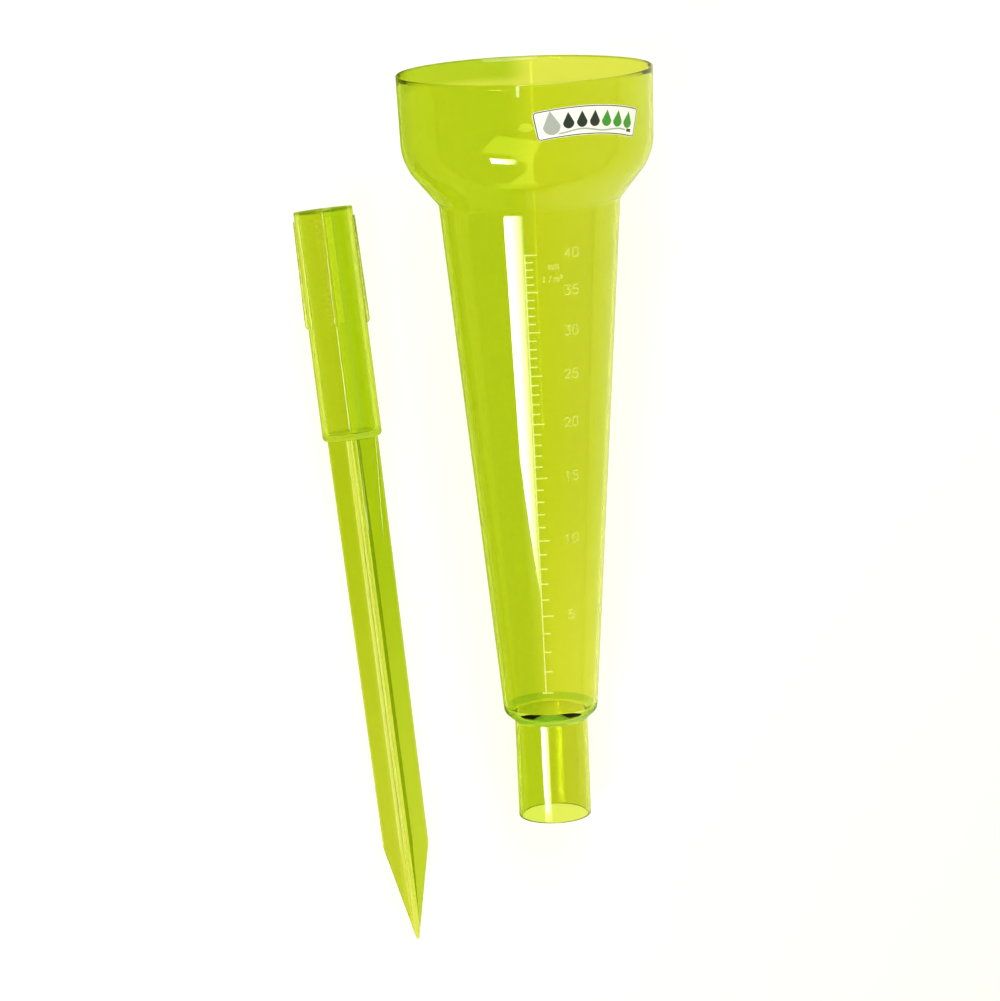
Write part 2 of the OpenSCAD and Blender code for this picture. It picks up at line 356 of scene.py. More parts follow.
@dataclass(frozen=True)
class ClearPlastic:
    """Clear, tinted, polished moulded plastic, which lets lamps and daylight through to the floor.

    Its tint turns from left to right between turn_start and turn_end, a painted light and shade that makes
    one side lighter than the other, and from front to back within back_reach of the axis. Its gloss is
    lower at the back, and a painted shade deepens it along its left edge.
    """

    name: str
    zones: tuple[Zone, ...]
    turn_start: float
    turn_end: float
    roughness: float = 0.03
    refraction: float = 1.15
    gloss_refraction: float = 1.5
    back_gloss: float = 0.3
    gloss_reach: float = 2 * MM
    back_reach: float = 6 * MM
    back_shift: tuple[float, float, float] = (0.93, 0.90, 0.80)
    left_edge_shade: tuple[float, float, float] = (0.90, 0.92, 0.65)
    left_edge_shade_share: tuple[float, float] = (0.92, 0.97)
    shade: tuple[float, float, float] = (0.985, 0.99, 0.93)
    ripple_scale: float = 60.0
    ripple_depth: float = 0.06 * MM

    def _tint(self, graph: Graph, across: Value, depth: Value, height: Value) -> Colour:
        """The plastic's tint, zone by zone, and from its left side to its right.

        Args:
            graph: the material's node tree.
            across: place across the moulding.
            depth: place towards its back.
            height: place along its axis.

        Returns:
            The tint.
        """
        # Painted light and shade: the tint turns from the left side to the right, so one side is lighter
        # than the other.
        share = across.ramp(self.turn_start, self.turn_end)
        at_back = depth.ramp(-self.back_reach, self.back_reach)
        tint = graph.blend(share, self.zones[0].left, self.zones[0].right)
        for zone in self.zones[1:]:
            own = graph.blend(share, zone.left, zone.right)
            above = height.ramp(zone.start, zone.start + zone.fade)
            tint = graph.blend(above * at_back if zone.behind else above, tint, own)
        front_shift = tuple(1 / part for part in self.back_shift)
        shift = graph.blend(at_back, front_shift, self.back_shift)
        # Painted shade: the colour is deepened along the left edge.
        in_left_shade = (-1 * across / radius_of(across, depth)).ramp(*self.left_edge_shade_share)
        edge = graph.blend(in_left_shade, (1.0, 1.0, 1.0), self.left_edge_shade)
        return graph.times(graph.times(tint, shift), edge)

    def _relief(self, graph: Graph, across: Value, depth: Value, height: Value) -> bpy.types.NodeSocket:
        """The faint ripple that moulding leaves.

        Args:
            graph: the material's node tree.
            across: place across the moulding, which is not used.
            depth: place towards its back, which is not used.
            height: place along its axis, which is not used.

        Returns:
            The bent normal.
        """
        return graph.bump(graph.noise(self.ripple_scale, 1.0), self.ripple_depth)

    def material(self, placement: "Placement") -> bpy.types.Material:
        """Makes the plastic for a moulding.

        Args:
            placement: how the moulding lies.

        Returns:
            The material.
        """
        material, graph = new_material(self.name)
        across, depth, height = graph.along(placement)
        gloss = 1 - depth.ramp(-self.gloss_reach, self.gloss_reach) * (1 - self.back_gloss)
        plastic = graph.add(
            "ShaderNodeBsdfPrincipled",
            None,
            {
                "Base Color": self._tint(graph, across, depth, height),
                "Roughness": self.roughness,
                "IOR": self.refraction,
                "Transmission Weight": 1.0,
                "Coat Weight": gloss,
                "Coat Roughness": self.roughness,
                "Coat IOR": self.gloss_refraction,
                "Normal": self._relief(graph, across, depth, height),
            },
        )
        path = graph.add("ShaderNodeLightPath")
        passing = path.value("Is Shadow Ray").most(path.value("Is Diffuse Ray"))
        clear = graph.add("ShaderNodeBsdfTransparent", None, {"Color": (*self.shade, 1.0)})
        mixed = graph.add(
            "ShaderNodeMixShader",
            None,
            {0: passing, 1: plastic.out("BSDF"), 2: clear.out("BSDF")},
        )
        graph.finish(mixed.out("Shader"))
        return material


@dataclass(frozen=True)
class VesselPlastic(ClearPlastic):
    """Clear plastic whose tube is drawn in a little towards its end, as its gloss shows."""

    tube_top: float = 32 * MM
    tube_draft: float = 0.07

    def _relief(self, graph: Graph, across: Value, depth: Value, height: Value) -> bpy.types.NodeSocket:
        """The ripple, and the slope of the tube.

        Args:
            graph: the material's node tree.
            across: place across the moulding, which is not used.
            depth: place towards its back, which is not used.
            height: place along its axis.

        Returns:
            The bent normal.
        """
        ripple = graph.noise(self.ripple_scale, 1.0) * self.ripple_depth
        drawn = (self.tube_top - height).most(0.0) * self.tube_draft
        return graph.bump(ripple + drawn, 1.0)


@dataclass(frozen=True)
class StakePlastic(ClearPlastic):
    """Clear plastic with a fine grain on the grip ribs, painted with pale glints, and painted highlights as
    pale lines along the blade's edges.

    The flanges' ends lie arm_foot from the axis at the tip, and arm_growth further out for each
    metre of height.
    """

    grip_r: float = 9.65 * MM
    grain_scale: float = 1500.0
    grain_depth: float = 0.22 * MM
    grain_glint_share: tuple[float, float] = (0.38, 0.62)
    rib_glint_tint: tuple[float, float, float] = (0.94, 0.92, 0.36)
    rib_shaded: tuple[float, float, float] = (0.66, 0.74, 0.08)
    blade_half: float = 1.2 * MM
    blade_r: float = 8.6 * MM
    past_blade: float = 9.0
    arm_foot: float = 7.3 * MM
    arm_growth: float = 0.006
    edge_width: float = 0.45 * MM
    inside_edge: float = 0.55 * MM
    edge_highlight_tint: tuple[float, float, float] = (0.80, 0.84, 0.26)
    web_half: float = 1.1 * MM
    web_and_highlight_tint: tuple[float, float, float] = (0.72, 0.77, 0.10)
    line_fade: float = 0.2 * MM
    fade: float = 0.1 * MM

    def _on_rib(self, across: Value, depth: Value) -> Value:
        """1 on the grip ribs, which stand proud of the plug, and 0 elsewhere."""
        return radius_of(across, depth).ramp(self.grip_r, self.grip_r + self.fade)

    def _on_blade(self, across: Value, depth: Value) -> Value:
        """Where the crossed blade is, with the strips of the plug's bore that are in line with it.

        Args:
            across: place across the moulding.
            depth: place towards its back.

        Returns:
            1 close to the blade's two crossed planes, inside the plug's wall, and 0 elsewhere.
        """
        side = abs(across).least(abs(depth))
        past = (radius_of(across, depth) - self.blade_r).most(0.0) * self.past_blade
        return 1 - (side + past).ramp(self.blade_half, self.blade_half + self.line_fade)

    def _edge_highlight_line(self, across: Value, depth: Value, height: Value) -> Value:
        """The painted highlights: pale lines along the ends of the flanges.

        Args:
            across: place across the moulding.
            depth: place towards its back.
            height: place along its axis.

        Returns:
            1 on a line and 0 beside it.
        """
        reach = abs(across).most(abs(depth)) - (height * self.arm_growth + self.arm_foot)
        side = abs(across).least(abs(depth))
        line = reach.ramp(-self.edge_width, self.line_fade - self.edge_width)
        return line * side.ramp(self.inside_edge, self.inside_edge + 1.5 * self.fade)

    def _tint(self, graph: Graph, across: Value, depth: Value, height: Value) -> Colour:
        """The zones' tint, with painted highlight lines along the edges of the flanges, and grainy ribs
        painted with pale glints.

        Args:
            graph: the material's node tree.
            across: place across the moulding.
            depth: place towards its back.
            height: place along its axis.

        Returns:
            The tint.
        """
        plain = super()._tint(graph, across, depth, height)
        # The grain is the ribs' own, but its pale specks are painted glints, mixed from a lit and a shaded
        # rib colour.
        glint_speckle = graph.noise(self.grain_scale, 2.0).ramp(*self.grain_glint_share)
        rib = graph.blend(glint_speckle, self.rib_shaded, self.rib_glint_tint)
        tint = graph.blend(self._on_rib(across, depth), plain, rib)
        on_blade = self._on_blade(across, depth)
        # The web flange is tinted paler. Where the strip runs down the middle of the plug's bore, the pale
        # tint is a painted highlight.
        on_web = 1 - abs(across).ramp(self.web_half, self.web_half + self.fade)
        tint = graph.blend(on_web * on_blade, tint, self.web_and_highlight_tint)
        # Painted highlights: pale lines along the ends of the flanges.
        return graph.blend(self._edge_highlight_line(across, depth, height) * on_blade, tint, self.edge_highlight_tint)

    def _relief(self, graph: Graph, across: Value, depth: Value, height: Value) -> bpy.types.NodeSocket:
        """The ripple, with a grain on the ribs.

        Args:
            graph: the material's node tree.
            across: place across the moulding.
            depth: place towards its back.
            height: place along its axis, which is not used.

        Returns:
            The bent normal.
        """
        grain = graph.noise(self.grain_scale, 2.0) * self._on_rib(across, depth) * self.grain_depth
        ripple = graph.noise(self.ripple_scale, 1.0) * self.ripple_depth
        return graph.bump(grain + ripple, 1.0)


@dataclass(frozen=True)
class RaisedMark:
    """Raised marks in the clear plastic, coloured as a painted highlight: pale lines where their edges
    catch the light, mixed at random from a lit and a shaded copy.
    """

    name: str = "raised_mark_highlight"
    colour: tuple[float, float, float] = (0.90, 0.92, 0.30)
    shaded: tuple[float, float, float] = (0.80, 0.86, 0.16)
    opacity: float = 0.8
    glint_scale: float = 900.0
    glint_share: tuple[float, float] = (0.35, 0.65)
    roughness: float = 0.25

    def material(self) -> bpy.types.Material:
        """Makes the material of the marks.

        Returns:
            The material.
        """
        material, graph = new_material(self.name)
        # Painted highlight: a noise picks between the lit colour and its shaded copy.
        glint = graph.noise(self.glint_scale, 2.0).ramp(*self.glint_share)
        tint = graph.blend(glint, self.shaded, self.colour)
        inputs = {"Base Color": tint, "Roughness": self.roughness, "Alpha": self.opacity}
        graph.finish(graph.add("ShaderNodeBsdfPrincipled", None, inputs).out("BSDF"))
        return material


@dataclass(frozen=True)
class PrintedFilm:
    """A white printed film: a keyline, a large and six small rain drops, a wave and a short bar.

    Places are measured from the film's middle.
    """

    length: float
    height: float
    corner_r: float
    name: str = "printed_label_film"
    white: tuple[float, float, float] = (0.93, 0.93, 0.91)
    dark: tuple[float, float, float] = (0.02, 0.03, 0.025)
    green: tuple[float, float, float] = (0.05, 0.30, 0.03)
    grey: tuple[float, float, float] = (0.42, 0.43, 0.42)
    large_drop: tuple[float, float, float] = (-13.2 * MM, -0.7 * MM, 2.7 * MM)
    small_drop: tuple[float, float, float] = (-8.0 * MM, -0.3 * MM, 1.85 * MM)
    small_count: int = 6
    dark_count: int = 3
    small_step: float = 4.4 * MM
    drop_taper: float = 0.55
    drop_edge: float = 0.94
    wave_middle: tuple[float, float] = (1 * MM, -2.9 * MM)
    wave_swing: float = 0.35 * MM
    wave_turn: float = 420.0
    wave_half: float = 12 * MM
    wave_width: float = 0.2 * MM
    bar_middle: tuple[float, float] = (15 * MM, -2.7 * MM)
    bar_half: float = 0.9 * MM
    keyline_inset: float = 0.3 * MM
    fade: float = 0.1 * MM

    def material(self) -> bpy.types.Material:
        """Makes the printed film, which reads the label's own UV map.

        Returns:
            The material.
        """
        material, graph = new_material(self.name)
        here = graph.add("ShaderNodeTexCoord").out("UV")
        split = graph.add("ShaderNodeSeparateXYZ", None, {"Vector": here})
        along = (split.value("X") - 0.5) * self.length
        up = (split.value("Y") - 0.5) * self.height
        colour = graph.blend(self._keyline(along, up), self.white, self.dark)
        colour = graph.blend(self._drop(along, up, *self.large_drop), colour, self.grey)
        x, y, radius = self.small_drop
        for place in range(self.small_count):
            ink = self.dark if place < self.dark_count else self.green
            drop = self._drop(along, up, x + place * self.small_step, y, radius)
            colour = graph.blend(drop, colour, ink)
        colour = graph.blend(self._wave(along, up), colour, self.grey)
        colour = graph.blend(self._bar(along, up), colour, self.dark)
        inputs = {"Base Color": colour, "Roughness": 0.35, "Coat Weight": 0.3, "Coat Roughness": 0.1}
        graph.finish(graph.add("ShaderNodeBsdfPrincipled", None, inputs).out("BSDF"))
        return material

    def _wave(self, along: Value, up: Value) -> Value:
        """A thin wavy line under the drops.

        Args:
            along: place along the label.
            up: place up the label.

        Returns:
            1 on the line and 0 beside it.
        """
        x, y = self.wave_middle
        off = abs(up - y + self.wave_swing * (along * self.wave_turn).sine())
        within = 1 - abs(along - x).ramp(self.wave_half, self.wave_half + 10 * self.fade)
        return (1 - off.ramp(self.wave_width, self.wave_width + self.fade)) * within

    def _bar(self, along: Value, up: Value) -> Value:
        """A short bar, twice as long as it is high.

        Args:
            along: place along the label.
            up: place up the label.

        Returns:
            1 on the bar and 0 beside it.
        """
        x, y = self.bar_middle
        off = abs(along - x).most(abs(up - y) * 2)
        return 1 - off.ramp(self.bar_half, self.bar_half + self.fade)

    def _keyline(self, along: Value, up: Value) -> Value:
        """A thin line just inside the film's rounded edge.

        Args:
            along: place along the label.
            up: place up the label.

        Returns:
            1 on the line and 0 beside it.
        """
        past_x = (abs(along) - (self.length / 2 - self.corner_r)).most(0.0)
        past_y = (abs(up) - (self.height / 2 - self.corner_r)).most(0.0)
        off = abs(radius_of(past_x, past_y) - (self.corner_r - self.keyline_inset))
        return 1 - off.ramp(self.fade, 2 * self.fade)

    def _drop(self, along: Value, up: Value, x: float, y: float, radius: float) -> Value:
        """The shape of a rain drop, round below and pointed above.

        Args:
            along: place along the label.
            up: place up the label.
            x: where the drop's middle is along the label.
            y: where it is up the label.
            radius: its radius.

        Returns:
            1 inside the drop and 0 outside it.
        """
        rise = (up - y).most(0.0)
        side = abs(along - x)
        below = (up - y).least(0.0)
        reach = radius_of(side, below) + rise * self.drop_taper
        return 1 - reach.ramp(radius * self.drop_edge, radius)


@dataclass(frozen=True)
class PaleFloor:
    """A plain white table top, whose colour in the plastic's gloss is a painted reflection, dim lime on the
    left and pale on the right, as if lit from the right.
    """

    name: str = "pale_floor"
    colour: tuple[float, float, float] = (0.885, 0.865, 0.95)
    painted_reflection_left: tuple[float, float, float] = (0.30, 0.38, 0.03)
    painted_reflection_right: tuple[float, float, float] = (0.60, 0.60, 0.35)
    mirror_start: float = 0.0
    mirror_end: float = 0.06

    def material(self) -> bpy.types.Material:
        """Makes the material of the floor.

        Returns:
            The material.
        """
        material, graph = new_material(self.name)
        here = graph.add("ShaderNodeTexCoord").out("Object")
        side = graph.add("ShaderNodeSeparateXYZ", None, {"Vector": here}).value("X")
        path = graph.add("ShaderNodeLightPath")
        # Painted reflection: glossy reflection rays see the floor dim lime on the left and pale on the
        # right.
        in_gloss = path.value("Is Glossy Ray") * path.value("Is Reflection Ray")
        share = side.ramp(self.mirror_start, self.mirror_end)
        painted_reflection = graph.blend(share, self.painted_reflection_left, self.painted_reflection_right)
        colour = graph.blend(in_gloss, self.colour, painted_reflection)
        inputs = {"Base Color": colour, "Roughness": 0.9, "Specular IOR Level": 0.0}
        graph.finish(graph.add("ShaderNodeBsdfPrincipled", None, inputs).out("BSDF"))
        return material


# ---------------------------------------------------------------- places and meshes


@dataclass(frozen=True)
class Placement:
    """How a moulding lies: its own axes, with its front towards -Y and its axis along +Z."""

    matrix: Matrix

    @classmethod
    def laid(cls, origin: Vector, axis: Vector, front: Vector, roll: float = 0.0) -> "Placement":
        """Works the placement out.

        Args:
            origin: where the moulding's own origin lies.
            axis: the direction up its axis.
            front: a direction on its front side, which needn't be square to the axis.
            roll: how far it is turned about its axis, in radians.

        Returns:
            The placement.
        """
        up = axis.normalized()
        back = -(front - front.dot(up) * up).normalized()
        across = back.cross(up)
        turn = Matrix((across, back, up)).transposed().to_4x4()
        return cls(Matrix.Translation(origin) @ turn @ Matrix.Rotation(roll, 4, "Z"))


@dataclass(frozen=True)
class Corner:
    """A corner of an outline that is turned round an axis."""

    radius: float
    height: float
    rounding: float = 0.0

    def point(self) -> Vector:
        """The corner as a vector of radius and height."""
        return Vector((self.radius, self.height))


def inset_corner(before: Corner, at: Corner, after: Corner, wall: float) -> Corner:
    """The corner of the inner face that lies behind a corner of the outer face.

    Args:
        before: the outer corner before it, working upwards.
        at: the outer corner.
        after: the outer corner after it.
        wall: the wall's thickness.

    Returns:
        The inner corner, with the rounding that keeps the wall even.
    """
    first = (at.point() - before.point()).normalized()
    second = (after.point() - at.point()).normalized()
    inward = [Vector((-d.y, d.x)) for d in (first, second)]
    shift = (inward[0] + inward[1]) * wall / (1 + inward[0].dot(inward[1]))
    bend = first.cross(second)
    rounding = at.rounding + (wall if bend < 0 else -wall)
    place = at.point() + shift
    return Corner(place.x, place.y, rounding)


def outline(corners: list[Corner], longest: float, arc_steps: int = 6) -> bmesh.types.BMesh:
    """Draws an outline as a chain of edges in the plane Y = 0, with its corners rounded.

    Args:
        corners: the outline's corners.
        longest: straight stretches are divided into edges no longer than this.
        arc_steps: edges in each rounding.

    Returns:
        The outline.
    """
    mesh = bmesh.new()
    chain = [mesh.verts.new((c.radius, 0.0, c.height)) for c in corners]
    for start, end in zip(chain, chain[1:]):
        mesh.edges.new((start, end))
    for before, at, after, vert in zip(corners, corners[1:], corners[2:], chain[1:]):
        if at.rounding <= 0:
            continue
        first = at.point() - before.point()
        turn = first.angle(after.point() - at.point())
        bmesh.ops.bevel(
            mesh,
            geom=[vert],
            offset=at.rounding * math.tan(turn / 2),
            offset_type="OFFSET",
            affect="VERTICES",
            segments=arc_steps,
            profile=0.5,
            material=-1,
        )
    for edge in list(mesh.edges):
        cuts = math.ceil(edge.calc_length() / longest) - 1
        if cuts > 0:
            bmesh.ops.subdivide_edges(mesh, edges=[edge], cuts=cuts)
    return mesh


def turned(corners: list[Corner], sides: int, longest: float = 4 * MM) -> bmesh.types.BMesh:
    """Turns an outline that starts and ends on the axis into a closed solid.

    Args:
        corners: the outline's corners.
        sides: steps in a full turn.
        longest: the longest edge along the outline.

    Returns:
        The solid, with its faces outwards.
    """
    mesh = outline(corners, longest)
    bmesh.ops.spin(
        mesh,
        geom=list(mesh.verts) + list(mesh.edges),
        cent=(0, 0, 0),
        axis=(0, 0, 1),
        angle=2 * math.pi,
        steps=sides,
        use_merge=True,
    )
    bmesh.ops.remove_doubles(mesh, verts=list(mesh.verts), dist=0.001 * MM)
    bmesh.ops.recalc_face_normals(mesh, faces=list(mesh.faces))
    return mesh


def mark_edges(mesh: bmesh.types.BMesh, sharp: float = math.radians(32)) -> None:
    """Shades a mesh smooth, apart from its sharp edges.

    Args:
        mesh: the mesh.
        sharp: the least angle between two faces that stays a sharp edge.
    """
    for face in mesh.faces:
        face.smooth = True
    for edge in mesh.edges:
        edge.smooth = len(edge.link_faces) == 2 and edge.calc_face_angle(0.0) < sharp


def as_object(name: str, mesh: bmesh.types.BMesh) -> bpy.types.Object:
    """Makes an object at the origin from a mesh, and links it to the scene.

    Args:
        name: the object's name.
        mesh: its mesh, which is used up.

    Returns:
        The object.
    """
    data = bpy.data.meshes.new(name)
    mesh.to_mesh(data)
    mesh.free()
    made = bpy.data.objects.new(name, data)
    bpy.context.scene.collection.objects.link(made)
    return made


def united(name: str, base: bmesh.types.BMesh, added: list[bmesh.types.BMesh]) -> bmesh.types.BMesh:
    """Joins closed solids into one closed solid.

    Args:
        name: a name for the base while it is worked on.
        base: the first solid.
        added: the solids that are joined to it.

    Returns:
        The joined solid.
    """
    body = as_object(name, base)
    tools = [as_object(f"{name}_tool", solid) for solid in added]
    for tool in tools:
        union = body.modifiers.new("union", "BOOLEAN")
        union.operation = "UNION"
        union.solver = "EXACT"
        union.object = tool
    joined = bmesh.new()
    joined.from_object(body, bpy.context.evaluated_depsgraph_get())
    for done in [body, *tools]:
        bpy.data.objects.remove(done)
    return joined


def report(piece: bpy.types.Object, body: Body, nodes: tuple[str, ...]) -> None:
    """Tells the frame what a finished piece is, and logs it.

    Args:
        piece: the piece.
        body: the body that it rides on.
        nodes: the CAD nodes that it stands for.
    """
    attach(piece, body.value)
    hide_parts(*nodes)
    log.info("%s: %d faces, stands for %s", piece.name, len(piece.data.polygons), ", ".join(nodes))


# ---------------------------------------------------------------- the gauge


@dataclass
class Vessel:
    """The gauge's one-piece moulding: catch bowl, measuring cone, floor and mounting tube."""

    placement: Placement
    mouth_r: float = 40 * MM
    wall_foot_r: float = 39.3 * MM
    bowl_wall_h: float = 21.8 * MM
    bowl_curve_r: float = 16 * MM
    funnel_angle: float = math.radians(39)
    neck_curve_r: float = 2.5 * MM
    cone_top_r: float = 28.4 * MM
    cone_foot_r: float = 15 * MM
    cone_h: float = 163.5 * MM
    shoulder_h: float = 4 * MM
    shoulder_angle: float = math.radians(48)
    shoulder_curve_r: float = 2.5 * MM
    tube_r: float = 11.6 * MM
    bore_r: float = 10.4 * MM
    tube_len: float = 32 * MM
    wall: float = 1.2 * MM
    floor_rise: float = 0.8 * MM
    rim_t: float = 0.7 * MM
    rim_bevel_h: float = 1.5 * MM
    rim_bevel_rounding: float = 1 * MM
    edge_rounding: float = 0.3 * MM
    sides: int = 192

    @property
    def slope(self) -> float:
        """How much the cone widens for each metre that it rises."""
        return (self.cone_top_r - self.cone_foot_r) / self.cone_h

    @property
    def foot_z(self) -> float:
        """Height of the cone's foot."""
        return self.tube_len + self.shoulder_h

    @property
    def neck_z(self) -> float:
        """Height of the neck between cone and bowl."""
        return self.foot_z + self.cone_h

    @property
    def bowl_corner_z(self) -> float:
        """Height where the funnel's line and the upright wall's line would meet."""
        return self.neck_z + (self.wall_foot_r - self.cone_top_r) / math.tan(self.funnel_angle)

    @property
    def mouth_z(self) -> float:
        """Height of the mouth."""
        return self.bowl_corner_z + self.bowl_curve_r * math.tan(self.funnel_angle / 2) + self.bowl_wall_h

    def bowl_r(self, height: float) -> float:
        """The outside radius of the bowl's upright wall.

        Args:
            height: the height at which it is measured.

        Returns:
            The radius.
        """
        share = (height - self.bowl_corner_z) / (self.mouth_z - self.bowl_corner_z)
        return self.wall_foot_r + (self.mouth_r - self.wall_foot_r) * share

    def _outside(self) -> list[Corner]:
        """The outer face's corners.

        Returns:
            The corners, from the open end of the tube up to the mouth.
        """
        rise = math.cos(self.shoulder_angle)
        run = math.sin(self.shoulder_angle)
        gap = self.cone_foot_r - self.slope * self.shoulder_h - self.tube_r
        along = gap / (run - self.slope * rise)
        shoulder = Corner(
            self.tube_r + run * along, self.tube_len + rise * along, self.shoulder_curve_r
        )
        return [
            Corner(self.tube_r, 0.0, self.edge_rounding),
            Corner(self.tube_r, self.tube_len),
            shoulder,
            Corner(self.cone_top_r, self.neck_z, self.neck_curve_r),
            Corner(self.wall_foot_r, self.bowl_corner_z, self.bowl_curve_r),
            Corner(self.mouth_r, self.mouth_z, self.edge_rounding),
        ]

    def _section(self) -> list[Corner]:
        """The whole closed section.

        Returns:
            The corners, from the axis under the floor round to the axis above it.
        """
        outer = self._outside()
        inner = [inset_corner(*outer[i - 1 : i + 2], self.wall) for i in range(3, len(outer) - 1)]
        floor_z = self.foot_z + self.floor_rise
        across = self.wall * math.hypot(1, self.slope)
        bevel_z = self.mouth_z - self.rim_bevel_h
        return [
            Corner(0.0, self.tube_len),
            Corner(self.bore_r, self.tube_len),
            Corner(self.bore_r, 0.0, self.edge_rounding),
            *outer,
            Corner(self.mouth_r - self.rim_t, self.mouth_z, self.edge_rounding),
            Corner(self.bowl_r(bevel_z) - self.wall, bevel_z, self.rim_bevel_rounding),
            *reversed(inner),
            Corner(self.cone_foot_r + self.slope * self.floor_rise - across, floor_z),
            Corner(0.0, floor_z),
        ]

    def build(self, plastic: ClearPlastic) -> None:
        """Makes the moulding and dresses it.

        Args:
            plastic: its finish.
        """
        mesh = turned(self._section(), self.sides)
        mark_edges(mesh)
        mesh.transform(self.placement.matrix)
        piece = as_object("gauge_vessel", mesh)
        piece.data.materials.append(plastic.material(self.placement))
        nodes = ("catch_bowl", "measuring_cone", "cone_floor", "mounting_tube")
        report(piece, Body.GAUGE, nodes)


@dataclass
class Label:
    """The arched film label on the bowl's upright wall.

    Its middle lies at an angle round the bowl from the front, a drop below the mouth, and it is
    turned a little about that middle.
    """

    vessel: Vessel
    length: float = 36 * MM
    height: float = 9 * MM
    arch_r: float = 75 * MM
    corner_r: float = 1.2 * MM
    thickness: float = 0.15 * MM
    angle: float = math.radians(30)
    drop: float = 12 * MM
    turn: float = math.radians(-3.5)
    columns: int = 48
    rows: int = 6
    corner_steps: int = 8

    def _flat(self) -> bmesh.types.BMesh:
        """The flat film with its rounded corners, cut into strips that can bend.

        Returns:
            The film in the plane Z = 0, with its middle at the origin.
        """
        mesh = bmesh.new()
        bmesh.ops.create_grid(mesh, x_segments=1, y_segments=1, size=0.5)
        bmesh.ops.scale(mesh, vec=(self.length, self.height, 1.0), verts=list(mesh.verts))
        bmesh.ops.bevel(
            mesh,
            geom=list(mesh.verts),
            offset=self.corner_r,
            offset_type="OFFSET",
            affect="VERTICES",
            segments=self.corner_steps,
            profile=0.5,
            material=-1,
        )
        cuts = (
            (self.columns, self.length, Vector((1, 0, 0))),
            (self.rows, self.height, Vector((0, 1, 0))),
        )
        for count, size, normal in cuts:
            for step in range(1, count):
                place = normal * (step / count - 0.5) * size
                geom = list(mesh.verts) + list(mesh.edges) + list(mesh.faces)
                bmesh.ops.bisect_plane(mesh, geom=geom, plane_co=place, plane_no=normal)
        return mesh

    def _on_bowl(self, along: float, up: float) -> Vector:
        """Where a point of the flat film lies on the bowl.

        Args:
            along: place along the film from its middle.
            up: place up the film from its middle.

        Returns:
            The point on the moulding's own axes.
        """
        bend = along / self.arch_r
        reach = self.arch_r + up
        arched = Vector((math.sin(bend) * reach, math.cos(bend) * reach - self.arch_r))
        side, rise = Matrix.Rotation(self.turn, 2) @ arched
        height = self.vessel.mouth_z - self.drop + rise
        depth = math.sqrt(self.vessel.bowl_r(height) ** 2 - side**2)
        return Matrix.Rotation(self.angle, 3, "Z") @ Vector((side, -depth, height))

    def build(self) -> None:
        """Makes the label and dresses it."""
        mesh = self._flat()
        sheet = mesh.loops.layers.uv.new("film")
        for face in mesh.faces:
            for loop in face.loops:
                place = loop.vert.co
                loop[sheet].uv = (place.x / self.length + 0.5, place.y / self.height + 0.5)
        for vert in mesh.verts:
            vert.co = self._on_bowl(vert.co.x, vert.co.y)
        bmesh.ops.recalc_face_normals(mesh, faces=list(mesh.faces))
        outward = sum((f.normal for f in mesh.faces), Vector())
        if outward.dot(self._on_bowl(0.0, 0.0) * Vector((1, 1, 0))) < 0:
            bmesh.ops.reverse_faces(mesh, faces=list(mesh.faces))
        bmesh.ops.solidify(mesh, geom=list(mesh.faces), thickness=-self.thickness)
        mark_edges(mesh)
        mesh.transform(self.vessel.placement.matrix)
        piece = as_object("gauge_label", mesh)
        piece.data.materials.append(PrintedFilm(self.length, self.height, self.corner_r).material())
        report(piece, Body.GAUGE, ("label",))


# ---------------------------------------------------------------- the stake


